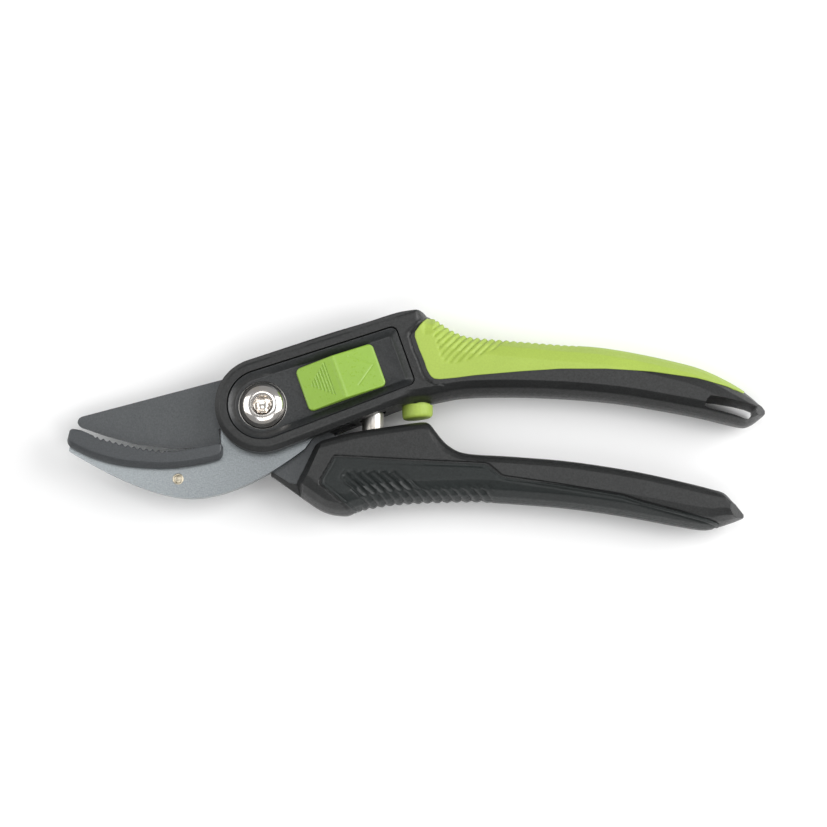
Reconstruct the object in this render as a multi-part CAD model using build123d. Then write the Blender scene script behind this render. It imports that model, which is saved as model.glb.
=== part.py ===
from build123d import *
from math import atan2, cos, degrees, pi, radians, sin
import os

# Pruning shears, lying on their back: X runs from the jaws to the handle ends, Z is the thickness.
# Everything is drawn about the pivot, then moved so that the origin is the middle of the underside.
# All sizes are in millimetres.

# Levels through the thickness, from the back up
THICKNESS = 19.2
MIDDLE = THICKNESS / 2
BACK_CHEEK = 6.4
BLADE_LOW = 6.8
BLADE_HIGH = 9.8
JAW_LOW = 9.9
JAW_HIGH = 13.1
CHEEK_FLOOR = 15.0
RIM_HIGH = THICKNESS

# Head: a long slab with a round end about the pivot, tilted up towards the handle
HEAD_ANGLE = 19.5
HEAD_R = 14.2
HEAD_LENGTH = 47.0
HEAD_END_HALF = 12.9
HEAD_CHAMFER = 1.4
RECESS_R = 10.6
RECESS_LENGTH = 45.4
RECESS_END_HALF = 9.4
COVER_GAP = 0.15
COVER_FLOOR = 1.6
COVER_HIGH = 18.5

# Pivot hardware: M8 button-head socket screw, thin nut, washers and a steel bush
BOLT_R = 4.0
BOLT_HEAD_R = 7.0
BOLT_HEAD_H = 4.4
BOLT_SOCKET_AF = 5.0
BOLT_SOCKET_DEPTH = 2.6
WASHER_R = 7.6
WASHER_T = 1.0
BOLT_SEAT = 14.3
NUT_AF = 13.0
NUT_LOW = 0.5
NUT_H = 4.0
TENSION_WASHER_R = 9.0
TENSION_WASHER_LOW = 5.8
TENSION_WASHER_T = 0.9
BUSH_R = 5.5
RUNNING_GAP = 0.05

# Lock: a thumb button that slides along the head and pulls a pin out of the blade's notch
LOCK_TRAVEL = 5.5
BUTTON_START = 12.6
BUTTON_END = 36.9
BUTTON_HALF = 6.75
BUTTON_LOW = 16.7
BUTTON_EDGE = 18.6
BUTTON_RIDGE = 20.5
BUTTON_RIDGE_AT = 23.6
BUTTON_CORNER = 1.6
NECK_START = 22.0
NECK_END = 28.0
NECK_HALF = 3.0
SLIDER_START = 11.9
SLIDER_END = 30.0
SLIDER_HALF = 3.6
SLIDER_LOW = 13.3
SLIDER_HIGH = 14.8
LOCK_PIN_AT = 14.2
LOCK_PIN_R = 1.8
LOCK_PIN_LOW = 10.0
LOCK_CLEARANCE = 0.3

# Main spring: a volute spring standing between the handles in two moulded cups
SPRING_X = 32.7
SPRING_R = 3.6
SPRING_CORE_R = 1.1
SPRING_STRIP = 0.55
SPRING_TURNS = 3.4
SPRING_LOW = -11.6
SPRING_HIGH = 3.6
SPRING_STRIP_WIDTH = 9.6
CUP_CLEARANCE = 0.4

# Green bumper under the upper handle
BUFFER_X = 46.2
BUFFER_R = 4.5
BUFFER_LOW = -3.0
BUFFER_SEAT = 0.9
BUFFER_HIGH = 4.0

# Handles: edge heights through a few places along X, as (x, y)
UPPER_TOP = [(40, 27.9), (48, 28.4), (53, 26.7), (59, 22.8), (66, 21.5), (89, 19.8), (106, 18.1),
             (120, 15.5), (133, 11.3), (146, 3.7)]
UPPER_BOTTOM = [(40, -0.2), (50, 1.3), (58, 3.0), (72, 3.5), (89, 3.1), (106, 1.3), (122, -1.4),
                (137, -4.5), (146, -5.6)]
UPPER_TIP = (150.2, -1.7, 0.0)
LOWER_TOP = [(6, -12.5), (17, -10.8), (27, -8.1), (41, -5.6), (49, -5.0), (52, -6.6), (55, -11.3),
             (59, -13.4), (71, -14.5), (86, -15.4), (101, -17.5), (116, -20.3), (137, -25.8)]
LOWER_BOTTOM = [(6, -22.7), (17, -30.6), (25.5, -32.9), (36, -30.0), (47, -28.8), (71, -28.8),
                (86, -29.7), (101, -31.5), (116, -33.9), (130, -36.6), (137, -35.8)]
LOWER_TIP = (143.6, -33.3, -31.9)
UPPER_STATIONS = [40, 46, 50, 54, 58, 63, 70, 80, 92, 106, 120, 133, 146]
LOWER_STATIONS = [6, 12, 18, 25, 33, 41, 47, 50, 53, 56, 60, 70, 85, 101, 117, 130, 137]
INLAY_DEPTH = 2.0

# Crowns of the handle sections: (distance from the edge, half thickness), from the edge inwards
UPPER_CROWN_LOW = [(0, 2.0), (1.9, 7.6), (4.0, 9.8)]
UPPER_CROWN_HIGH = [(0, 1.8), (1.2, 5.2), (3.4, 8.0), (6.5, 9.8)]
LOWER_CROWN_LOW = [(0, 1.8), (0.9, 5.0), (2.8, 8.0), (5.5, 9.8)]
LOWER_CROWN_HIGH = [(0, 2.5), (1.4, 7.8), (3.2, 9.8)]

# Hang slot through the end of the upper handle, for a wrist loop
HANG_SLOT = [(131.8, -0.2), (132.5, 2.8), (136.0, 2.3), (141.0, 1.3), (144.8, 0.3), (147.0, -0.6),
             (144.6, -4.3), (140.7, -3.0), (136.8, -1.9)]

# Blade, jaw and the toothed strip on the jaw
BLADE_DISC_R = 14.0
BEVEL_WIDTH = 4.2
BEVEL_DEPTH = 2.6
STRIP_HIGH = 16.6
STRIP_CHAMFER = 1.5
TOOTH_DEPTH = 0.8
TOOTH_COUNT = 12
TOOTH_FIRST = 0.40
TOOTH_STEP = 0.038
RIVET_AT = (-25.2, -21.7)
RIVET_R = 1.7

# Pins that hold the two blades' tails in the handles
PIN_R = 2.0
UPPER_PIN_LOW = 2.5
LOWER_PIN_LOW = 4.5
UPPER_PINS_ALONG_HEAD = [(31.0, 6.6), (43.2, 2.0)]
LOWER_PINS = [(34.0, -19.4), (54.0, -20.8)]

# Leaf spring that clicks the lock at each end of its travel
DETENT_THICKNESS = 0.4
DETENT_LEAF = [(14.0, -4.9), (20.5, -4.9), (22.3, -4.1), (24.1, -4.9), (32.0, -4.9)]


def smooth(points, x):
    """Height at x of a smooth curve through the points (cubic pieces, slopes from the neighbours)."""
    last = len(points) - 1
    i = max(k for k in range(last) if points[k][0] <= x or k == 0)

    def slope(k):
        low, high = max(k - 1, 0), min(k + 1, last)
        return (points[high][1] - points[low][1]) / (points[high][0] - points[low][0])

    (x0, y0), (x1, y1) = points[i], points[i + 1]
    span = x1 - x0
    u = (x - x0) / span
    return (y0 * (1 + 2 * u) * (1 - u) ** 2 + y1 * u * u * (3 - 2 * u)
            + span * u * (1 - u) * (slope(i) * (1 - u) - slope(i + 1) * u))


def in_head(shape):
    """Turn a shape drawn along the head's own axis to where the head lies."""
    return Rot(0, 0, HEAD_ANGLE) * shape


def head_point(along, across):
    """A place given along and across the head's axis, as x and y about the pivot."""
    a = radians(HEAD_ANGLE)
    return along * cos(a) - across * sin(a), along * sin(a) + across * cos(a)


def upper_pins():
    return [head_point(along, across) for along, across in UPPER_PINS_ALONG_HEAD]


def prism(points, low, high):
    """A straight-sided solid over a closed outline of points, from one level to another."""
    face = make_face(Polyline(*points, close=True))
    return Pos(0, 0, low) * extrude(face, high - low, dir=(0, 0, 1))


def disc(radius, low, high, at=(0, 0)):
    """A round solid standing along Z between two levels."""
    return Pos(at[0], at[1], low) * extrude(Circle(radius), high - low)


def ring(outer, inner, low, high, at=(0, 0)):
    """A washer or sleeve standing along Z between two levels."""
    return disc(outer, low, high, at) - disc(inner, low - 1, high + 1, at)


def bar(along0, along1, half, low, high):
    """A block centred on the head's axis, between two places along it."""
    block = Pos((along0 + along1) / 2, 0, (low + high) / 2) * Box(along1 - along0, 2 * half, high - low)
    return in_head(block)


def stadium(radius, length, end_half, low, high):
    """A slab with a round end about the pivot and a square far end, along the head's axis."""
    end = [(0, radius), (length, end_half), (length, -end_half), (0, -radius)]
    outline = Sketch() + Circle(radius) + make_face(Polyline(*end, close=True))
    return in_head(Pos(0, 0, low) * extrude(outline, high - low))


def handle_section(x, low, high, crown_low, crown_high, inset=0.0):
    """One cross-section of a handle: flat faces front and back, eased towards both edges.

    crown_low and crown_high list (distance from the edge, half thickness) from the edge inwards.
    """
    low, high = low + inset, high - inset
    scale = min(1.0, (high - low) / 12.0)

    def half(width):
        return max(width * (0.55 + 0.45 * scale) - inset, 0.6)

    side = [(low + d * scale, half(w)) for d, w in crown_low]
    side += [(high - d * scale, half(w)) for d, w in reversed(crown_high)]
    points = [(y, MIDDLE + w) for y, w in side] + [(y, MIDDLE - w) for y, w in reversed(side)]
    return make_face(Polyline(*[(x, y, z) for y, z in points], close=True))


def handle(stations, top, bottom, tip, crown_low, crown_high, inset=0.0):
    """A handle lofted through its stations, with a short wedge at its far end."""
    def section(x, low, high):
        return handle_section(x, low, high, crown_low, crown_high, inset)

    sections = [section(x, smooth(bottom, x), smooth(top, x)) for x in stations]
    tip_x, tip_low, tip_high = tip
    body = loft(sections)
    if inset == 0.0:
        body += loft([sections[-1], section(tip_x, tip_low, tip_high)], ruled=True)
    slab = Pos(45, 0, MIDDLE) * Box(300, 120, THICKNESS - 2 * inset)
    return body & slab


def upper_grip_area():
    """Outline of the green inlay seen from the front; its top runs past the handle's edge."""
    return [(50.9, 26.4), (47.6, 23.8), (45.6, 20.7), (47.0, 15.7), (50.0, 9.6), (53.0, 7.8),
            (57.5, 8.2), (71, 9.7), (89, 10.6), (102.5, 10.6), (116, 9.7), (129.5, 7.9),
            (138.5, 5.9), (145.5, 3.4), (146, 32), (51.5, 32)]


def lower_grip_area():
    """Outline of the soft inlay in the lower handle; its bottom runs past the handle's edge."""
    return [(25.1, -29.4), (17.5, -23.4), (21.8, -15.7), (56, -17.2), (67, -18.3), (71.3, -21.5),
            (89, -24.1), (107, -27.0), (113, -28.9), (136, -35.0), (136, -40), (29, -40)]


def blade_outline():
    """The cutting blade's plan: straight back, convex edge, and a tang that crosses the pivot."""
    back_touch = (4.4, 13.3)
    nose = [(-54.4, -2.4), (-55.2, -2.85), (-55.65, -3.5), (-55.75, -4.25), (-55.4, -5.0), (-54.6, -5.65)]
    edge = [(-46.6, -8.5), (-37.6, -10.9), (-28, -11.9), (-19, -11.9), (-12.9, -11.2)]
    tang = [(-13.3, -6), (-8, -11.5), (3.2, -19.4), (8, -22.5), (22, -24.2), (60, -24.6), (60, -17.6),
            (27, -13.0), (24, -9.6), (12, -2.6), (12, 6)]
    return [back_touch] + nose + edge + tang


def cutting_blade():
    plan = make_face(Polyline(*blade_outline(), close=True))
    body = extrude(plan, BLADE_HIGH - BLADE_LOW)
    body += extrude(Circle(BLADE_DISC_R), BLADE_HIGH - BLADE_LOW)
    blade = Pos(0, 0, BLADE_LOW) * body
    # The cutting edge is ground from the back, so the front face stays flat
    edge = [(-58, -7.0), (-46.6, -8.5), (-37.6, -10.9), (-28, -11.9), (-19, -11.9), (-10.9, -11.2)]
    section = [(0, -3, -1), (0, BEVEL_WIDTH, -1), (0, BEVEL_WIDTH, 0), (0, 0, BEVEL_DEPTH),
               (0, -3, BEVEL_DEPTH + 1.8)]
    for (x0, y0), (x1, y1) in zip(edge, edge[1:]):
        length = ((x1 - x0) ** 2 + (y1 - y0) ** 2) ** 0.5
        wedge = extrude(make_face(Polyline(*section, close=True)), length + 0.8, dir=(1, 0, 0))
        blade -= Pos(x0, y0, BLADE_LOW) * Rot(0, 0, degrees(atan2(y1 - y0, x1 - x0))) * wedge
    blade -= disc(BUSH_R + RUNNING_GAP, 0, THICKNESS)
    notch = bar(LOCK_PIN_AT - LOCK_PIN_R - LOCK_CLEARANCE, 20, LOCK_PIN_R + LOCK_CLEARANCE, 0, THICKNESS)
    blade -= notch
    for pin in LOWER_PINS:
        blade -= disc(PIN_R, 0, THICKNESS, pin)
    return blade


def jaw_outline():
    """The hook jaw's visible edges: the outer curve, and the hollow that faces the blade."""
    outer = [(-57.9, -13.2), (-45, -20.3), (-33, -25.2), (-21, -27.4), (-8, -24.7), (2.2, -19.7),
             (12.5, -12.6)]
    inner = [(-15.5, -14.2), (-22, -15.6), (-32, -16.0), (-43, -14.2), (-52, -10.6), (-57.2, -9.6)]
    return outer, inner


def hook_jaw():
    outer, inner = jaw_outline()
    with BuildSketch() as plan:
        with BuildLine():
            low = Spline(*outer)
            Line(low @ 1, (15.8, -8.0))
            Line((15.8, -8.0), (0, 0))
            Line((0, 0), (-12.6, -7.0))
            Line((-12.6, -7.0), (-12.4, -11.6))
            Line((-12.4, -11.6), inner[0])
            high = Spline(*inner)
            Line(high @ 1, low @ 0)
        make_face()
        Circle(BLADE_DISC_R)
    body = Pos(0, 0, JAW_LOW) * extrude(plan.sketch, JAW_HIGH - JAW_LOW)
    body += jaw_tang(0)
    body -= disc(BOLT_R + RUNNING_GAP, 0, THICKNESS)
    body -= bar(LOCK_PIN_AT - LOCK_PIN_R - LOCK_CLEARANCE,
                LOCK_PIN_AT + LOCK_TRAVEL + LOCK_PIN_R + LOCK_CLEARANCE,
                LOCK_PIN_R + LOCK_CLEARANCE, 0, THICKNESS)
    body -= disc(RIVET_R, 0, THICKNESS, RIVET_AT)
    for pin in upper_pins():
        body -= disc(PIN_R, 0, THICKNESS, pin)
    return body


def jaw_tang(gap):
    """The flat tail of the jaw inside the head, larger all round by the gap."""
    points = [(0, 9.2 + gap), (46.0 + gap, 9.2 + gap), (46.0 + gap, -3.0 - gap), (26, -4.6 - gap),
              (14, -9 - gap), (0, -9 - gap)]
    return in_head(prism(points, JAW_LOW, JAW_HIGH))


def grip_strip():
    """Toothed strip on the jaw's front: holds the stem while the blade cuts past it."""
    low = [(-58.3, -11.8), (-50.7, -15.5), (-44.9, -17.2), (-39, -18.2), (-30, -18.7), (-23.2, -18.2),
           (-16.3, -17.0), (-12.6, -15.9)]
    high = [(-12.4, -11.6), (-19.7, -13.0), (-26.6, -13.9), (-31.8, -13.9), (-37, -13.4), (-41.8, -12.5),
            (-46.6, -11.1), (-50.7, -9.2), (-54, -7.8), (-57, -6.9)]
    with BuildSketch() as plan:
        with BuildLine():
            bottom = Spline(*low)
            Line(bottom @ 1, high[0])
            top = Spline(*high)
            Line(top @ 1, bottom @ 0)
        make_face()
    body = Pos(0, 0, JAW_HIGH) * extrude(plan.sketch, STRIP_HIGH - JAW_HIGH)
    lower_edges = body.edges().filter_by(lambda e: e.center().Z > STRIP_HIGH - 0.01).sort_by(Axis.Y)
    body = chamfer(lower_edges[0], STRIP_CHAMFER)
    for i in range(TOOTH_COUNT):
        place = top @ (TOOTH_FIRST + i * TOOTH_STEP)
        body -= disc(TOOTH_DEPTH, JAW_HIGH - 1, STRIP_HIGH + 1, (place.X, place.Y + 0.1))
    return body


def upper_envelope():
    """The upper handle's whole outer shape: the head slab run into the lofted grip."""
    head = stadium(HEAD_R, HEAD_LENGTH, HEAD_END_HALF, 0, THICKNESS)
    rims = head.edges().filter_by(lambda e: abs(e.center().Z - MIDDLE) > MIDDLE - 0.01)
    head = chamfer(rims, HEAD_CHAMFER)
    grip = handle(UPPER_STATIONS, UPPER_TOP, UPPER_BOTTOM, UPPER_TIP, UPPER_CROWN_LOW, UPPER_CROWN_HIGH)
    return head + grip


def blade_space():
    """Room between the cheeks for the blade to swing: all but a wedge behind the pivot."""
    wedge = CenterArc((0, 0), 15.0, -9.0, 49.0)
    start, end = wedge @ 0, wedge @ 1
    with BuildSketch() as plan:
        with BuildLine():
            add(wedge)
            Polyline(end, (end.X * 2.4, end.Y * 2.4), (10, 40), (-40, 40), (-40, -40), (20, -40),
                     (start.X * 2.9, start.Y * 2.9), start)
        make_face()
    return Pos(0, 0, BACK_CHEEK) * extrude(plan.sketch, JAW_HIGH - BACK_CHEEK)


def upright(radius, low, high, x):
    """A round solid along Y in the middle of the thickness."""
    return Pos(x, low, MIDDLE) * Rot(-90, 0, 0) * extrude(Circle(radius), high - low)


def upper_handle_and_grip():
    envelope = upper_envelope()
    core = handle(UPPER_STATIONS, UPPER_TOP, UPPER_BOTTOM, UPPER_TIP, UPPER_CROWN_LOW, UPPER_CROWN_HIGH,
                  INLAY_DEPTH)
    skin = prism(upper_grip_area(), -1, THICKNESS + 1) - core
    grip = envelope & skin
    body = envelope - skin
    body -= stadium(RECESS_R, RECESS_LENGTH, RECESS_END_HALF, CHEEK_FLOOR, THICKNESS + 1)
    body -= disc(BOLT_HEAD_R + 0.9, BOLT_SEAT, THICKNESS)
    body -= disc(BOLT_R + RUNNING_GAP, -1, THICKNESS)
    body -= Pos(0, 0, -1) * extrude(RegularPolygon(NUT_AF / 2 + 0.1, 6, major_radius=False),
                                    NUT_LOW + NUT_H + 1)
    body -= disc(TENSION_WASHER_R + 0.2, TENSION_WASHER_LOW, BLADE_LOW)
    body -= blade_space()
    body -= jaw_tang(0.0)
    body -= bar(SLIDER_START - 0.3, SLIDER_END + LOCK_TRAVEL + 0.3, SLIDER_HALF + 1.6, JAW_HIGH,
                CHEEK_FLOOR + 0.01)
    body -= upright(SPRING_R + CUP_CLEARANCE, -20, SPRING_HIGH, SPRING_X)
    body -= upright(BUFFER_R, BUFFER_LOW, BUFFER_SEAT, BUFFER_X)
    body -= upright(BUFFER_R - 0.8, BUFFER_LOW, BUFFER_HIGH, BUFFER_X)
    body -= prism(HANG_SLOT, -1, THICKNESS + 1)
    for pin in upper_pins():
        body -= disc(PIN_R, UPPER_PIN_LOW, CHEEK_FLOOR - 0.1, pin)
    return body, grip


def head_cover():
    """Dished plate in the head's recess: sloping border, flat floor, screw hole and button slot."""
    gap = COVER_GAP
    plate = stadium(RECESS_R - gap, RECESS_LENGTH - gap, RECESS_END_HALF - gap, CHEEK_FLOOR, COVER_HIGH)
    floor = CHEEK_FLOOR + COVER_FLOOR
    dish = stadium(RECESS_R - 2.6, RECESS_LENGTH - 1.9, RECESS_END_HALF - 1.8, floor, COVER_HIGH + 1)
    plate -= dish
    plate -= disc(BOLT_HEAD_R + 0.9, 0, THICKNESS + 1)
    plate -= bar(NECK_START - LOCK_CLEARANCE, NECK_END + LOCK_TRAVEL + LOCK_CLEARANCE,
                 NECK_HALF + LOCK_CLEARANCE, 0, THICKNESS + 1)
    return plate


def lock_button():
    """Thumb button: crowned to a cross ridge, with a neck that reaches through the cover."""
    outline = [(BUTTON_START, BUTTON_LOW), (BUTTON_START, BUTTON_EDGE), (BUTTON_RIDGE_AT, BUTTON_RIDGE),
               (BUTTON_END, BUTTON_EDGE), (BUTTON_END, BUTTON_LOW)]
    side = make_face(Polyline(*[(x, 0, z) for x, z in outline], close=True))
    body = Pos(0, BUTTON_HALF, 0) * extrude(side, 2 * BUTTON_HALF, dir=(0, -1, 0))
    corners = body.edges().filter_by(Axis.Z)
    body = fillet(corners, BUTTON_CORNER)
    body = in_head(body)
    body += bar(NECK_START, NECK_END, NECK_HALF, SLIDER_HIGH, BUTTON_LOW)
    return body


def lower_envelope():
    grip = handle(LOWER_STATIONS, LOWER_TOP, LOWER_BOTTOM, LOWER_TIP, LOWER_CROWN_LOW, LOWER_CROWN_HIGH)
    nose_points = [(2.2, -19.8), (12, -27.0), (20, -27.0), (24.5, -8.8), (17, -10.0)]
    nose = prism(nose_points, 0, BLADE_HIGH - 0.2)
    return grip + nose


def lower_handle_and_grip():
    envelope = lower_envelope()
    core = handle(LOWER_STATIONS, LOWER_TOP, LOWER_BOTTOM, LOWER_TIP, LOWER_CROWN_LOW, LOWER_CROWN_HIGH,
                  INLAY_DEPTH)
    skin = prism(lower_grip_area(), -1, THICKNESS + 1) - core
    grip = envelope & skin
    body = envelope - skin
    # Clear of the round head at every level
    body -= disc(HEAD_R + 0.9, -1, THICKNESS + 1)
    # In front of the blade the moulding stands back from the jaw, behind a sloping face
    front = [(-10, -6), (14.0, -6), (15.2, -11.8), (10.0, -22.6), (12.0, -29.0), (6, -36), (-10, -36)]
    ridge = [(-10, -4), (19.5, -4), (17.6, -11.9), (12.4, -23.4), (14.6, -30.5), (8, -37), (-10, -37)]
    low_face = make_face(Polyline(*[(x, y, BLADE_HIGH - 0.2) for x, y in front], close=True))
    high_face = make_face(Polyline(*[(x, y, THICKNESS + 0.1) for x, y in ridge], close=True))
    body -= loft([low_face, high_face], ruled=True)
    body -= prism(blade_outline(), BLADE_LOW, BLADE_HIGH)
    body -= disc(BLADE_DISC_R + 0.3, BLADE_LOW - 0.3, BLADE_HIGH + 0.3)
    body -= upright(SPRING_R + CUP_CLEARANCE, SPRING_LOW, 10, SPRING_X)
    for pin in LOWER_PINS:
        body -= disc(PIN_R, LOWER_PIN_LOW, THICKNESS - LOWER_PIN_LOW, pin)
    return body, grip


def main_spring():
    """Volute spring: a flat strip wound as a spiral, each turn standing further up than the last."""
    steps = 60
    pitch = (SPRING_R - SPRING_CORE_R - SPRING_STRIP) / SPRING_TURNS

    def spiral(offset):
        points = []
        for k in range(steps + 1):
            turn = SPRING_TURNS * k / steps
            r = SPRING_CORE_R + pitch * turn + offset
            points.append((r * cos(2 * pi * turn), r * sin(2 * pi * turn)))
        return points

    with BuildSketch() as plan:
        with BuildLine():
            inner = Spline(*spiral(0))
            outer = Spline(*spiral(SPRING_STRIP))
            Line(inner @ 0, outer @ 0)
            Line(inner @ 1, outer @ 1)
        make_face()
    length = SPRING_HIGH - SPRING_LOW
    wall = extrude(plan.sketch, length)
    rise = length - SPRING_STRIP_WIDTH
    fall = rise * (1 + 1 / SPRING_R)
    band = [(0, 0, rise), (SPRING_R + 1, 0, rise - fall), (SPRING_R + 1, 0, length - fall), (0, 0, length)]
    cone = revolve(make_face(Polyline(*band, close=True)), Axis.Z)
    return Pos(SPRING_X, SPRING_LOW, MIDDLE) * Rot(-90, 0, 0) * (wall & cone)


def detent_spring():
    """Bent leaf beside the lock's slider, standing clear of it by a hair."""
    inner = [(x, y + DETENT_THICKNESS) for x, y in reversed(DETENT_LEAF)]
    return in_head(prism(DETENT_LEAF + inner, SLIDER_LOW, SLIDER_HIGH))


def stop_buffer():
    body = upright(BUFFER_R, BUFFER_LOW, BUFFER_SEAT, BUFFER_X)
    body = fillet(body.edges().sort_by(Axis.Y)[0], 0.9)
    body += upright(BUFFER_R - 0.8, 0, BUFFER_HIGH, BUFFER_X)
    return body


def pivot_bolt():
    seat = BOLT_SEAT + WASHER_T
    with BuildSketch(Plane.XZ) as half:
        with BuildLine():
            Polyline((0, seat + BOLT_HEAD_H), (3.6, seat + BOLT_HEAD_H))
            ThreePointArc((3.6, seat + BOLT_HEAD_H), (6.2, seat + 2.9), (BOLT_HEAD_R, seat))
            Polyline((BOLT_HEAD_R, seat), (BOLT_R, seat), (BOLT_R, 1.3), (BOLT_R - 0.7, 0.6), (0, 0.6),
                     (0, seat + BOLT_HEAD_H))
        make_face()
    body = revolve(half.sketch, Axis.Z)
    socket = extrude(RegularPolygon(BOLT_SOCKET_AF / 2, 6, major_radius=False), BOLT_SOCKET_DEPTH + 1)
    return body - Pos(0, 0, seat + BOLT_HEAD_H - BOLT_SOCKET_DEPTH) * socket


def pivot_nut():
    body = extrude(RegularPolygon(NUT_AF / 2, 6, major_radius=False), NUT_H)
    return Pos(0, 0, NUT_LOW) * (body - extrude(Circle(BOLT_R), NUT_H))


def build():
    upper_handle, upper_grip = upper_handle_and_grip()
    lower_handle, lower_grip = lower_handle_and_grip()
    pin_at = head_point(LOCK_PIN_AT, 0)
    lock_slider = bar(SLIDER_START, SLIDER_END, SLIDER_HALF, SLIDER_LOW, SLIDER_HIGH)
    lock_slider -= disc(LOCK_PIN_R, 0, THICKNESS, pin_at)
    return {
        "upper_handle": upper_handle,
        "upper_grip": upper_grip,
        "head_cover": head_cover(),
        "hook_jaw": hook_jaw(),
        "grip_strip": grip_strip(),
        "jaw_rivet": disc(RIVET_R, JAW_LOW + 0.1, JAW_HIGH + 0.3, RIVET_AT),
        "jaw_pins": Part() + [disc(PIN_R, UPPER_PIN_LOW, CHEEK_FLOOR - 0.1, p) for p in upper_pins()],
        "pivot_bolt": pivot_bolt(),
        "pivot_washer": ring(WASHER_R, BOLT_R, BOLT_SEAT, BOLT_SEAT + WASHER_T),
        "pivot_nut": pivot_nut(),
        "pivot_bush": ring(BUSH_R, BOLT_R, BACK_CHEEK, JAW_LOW),
        "tension_washer": ring(TENSION_WASHER_R, BUSH_R + 0.2, TENSION_WASHER_LOW,
                               TENSION_WASHER_LOW + TENSION_WASHER_T),
        "detent_spring": detent_spring(),
        "stop_buffer": stop_buffer(),
        "main_spring": main_spring(),
        "lower_handle": lower_handle,
        "lower_grip": lower_grip,
        "cutting_blade": cutting_blade(),
        "blade_pins": Part() + [disc(PIN_R, LOWER_PIN_LOW, THICKNESS - LOWER_PIN_LOW, p) for p in LOWER_PINS],
        "lock_button": lock_button(),
        "lock_slider": lock_slider,
        "lock_pin": disc(LOCK_PIN_R, LOCK_PIN_LOW, SLIDER_HIGH, pin_at),
    }


nodes = build()
boxes = [shape.bounding_box() for shape in nodes.values()]
middle_x = (min(b.min.X for b in boxes) + max(b.max.X for b in boxes)) / 2
middle_y = (min(b.min.Y for b in boxes) + max(b.max.Y for b in boxes)) / 2
os.makedirs("parts", exist_ok=True)
for name, shape in nodes.items():
    solids = (Pos(-middle_x, -middle_y, 0) * shape).solids()
    export_step(solids[0] if len(solids) == 1 else Compound(solids), f"parts/{name}.step")
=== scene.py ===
"""Pruning shears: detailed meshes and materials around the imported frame.

Shapes are worked out in millimetres about the pivot (X towards the handle ends, Z out of the face with
the lock) and turned into metres in the frame's own place when a mesh is made.
"""
import math

import bmesh
import bpy
import numpy as np
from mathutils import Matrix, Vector


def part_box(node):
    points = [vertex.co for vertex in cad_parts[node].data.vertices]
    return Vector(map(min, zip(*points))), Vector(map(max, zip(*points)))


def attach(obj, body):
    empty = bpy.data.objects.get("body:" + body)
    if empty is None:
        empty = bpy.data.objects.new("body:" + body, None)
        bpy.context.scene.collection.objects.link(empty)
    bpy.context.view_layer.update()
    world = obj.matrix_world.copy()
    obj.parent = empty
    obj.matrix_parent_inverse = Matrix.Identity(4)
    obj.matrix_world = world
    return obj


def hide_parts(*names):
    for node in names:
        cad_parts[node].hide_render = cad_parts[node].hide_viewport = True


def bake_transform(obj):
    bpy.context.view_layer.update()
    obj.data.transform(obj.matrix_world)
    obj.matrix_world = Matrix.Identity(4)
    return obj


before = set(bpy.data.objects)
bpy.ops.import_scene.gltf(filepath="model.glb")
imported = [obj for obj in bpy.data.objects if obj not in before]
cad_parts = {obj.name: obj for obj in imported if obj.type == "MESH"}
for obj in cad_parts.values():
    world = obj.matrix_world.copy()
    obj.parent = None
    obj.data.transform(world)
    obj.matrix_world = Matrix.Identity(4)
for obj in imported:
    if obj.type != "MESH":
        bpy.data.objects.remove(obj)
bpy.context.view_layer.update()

UPPER, LOWER, LOCK = "upper_body", "lower_body", "lock"
bolt_low, bolt_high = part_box("pivot_bolt")
PIVOT = Vector(((bolt_low.x + bolt_high.x) / 2, (bolt_low.y + bolt_high.y) / 2, 0.0))

# ---- Levels and driving sizes, in mm ---------------------------------------------------------------
THICKNESS = 19.2
MIDDLE = THICKNESS / 2
BLADE_LOW, BLADE_HIGH = 6.8, 9.8
JAW_LOW, JAW_HIGH = 9.9, 13.1
HEAD_ANGLE = math.radians(19.5)
HEAD_R = 14.2
HEAD_TAPER = 1.3 / 47.0
RECESS_FLOOR = 15.0
RECESS_R, RECESS_LENGTH, RECESS_END = 10.6, 45.4, 9.4

INLAY_DEPTH = 0.9
UNDER_INLAY = 2.2       # how far the handle's own edge stands back under an inlay
HANDLE_COLUMNS = 84
SCREW_KEY, NUT_SEAT_FLATS = 5.0, 13.2
SPRING_X, SPRING_LOW, SPRING_HIGH, SPRING_CUP_R = 32.7, -11.6, 3.6, 4.0

# Edge heights of the two handles seen from the front, as (x, y)
UPPER_TOP = [(-4.74, 13.39), (20, 21.6), (31.5, 25.1), (40, 27.85), (44, 28.5), (46.4, 28.6),
             (47.8, 28.3), (48.8, 27.8), (50, 27.6), (51.5, 27.5), (53, 26.7), (56, 24.6), (59, 23.0),
             (62, 22.1), (66, 21.6), (71, 21.1), (77, 20.5), (89, 19.4), (101, 18.4), (113, 16.3),
             (125, 13.5), (131, 11.7), (137, 9.0), (143, 5.5), (146.4, 2.9), (149, 0.4), (150.3, -1.0)]
UPPER_BOTTOM = [(4.74, -13.39), (20, -7.5), (36, -1.33), (40, 0.1), (44, 0.9), (50, 1.5), (54, 2.3),
                (59, 3.2), (65, 3.6), (74, 3.7), (83, 3.5), (95, 2.8), (107, 1.6), (119, -0.4),
                (131, -2.7), (140, -4.9), (144, -5.6), (146.4, -4.8), (149, -2.9), (150.3, -1.8)]
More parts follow.
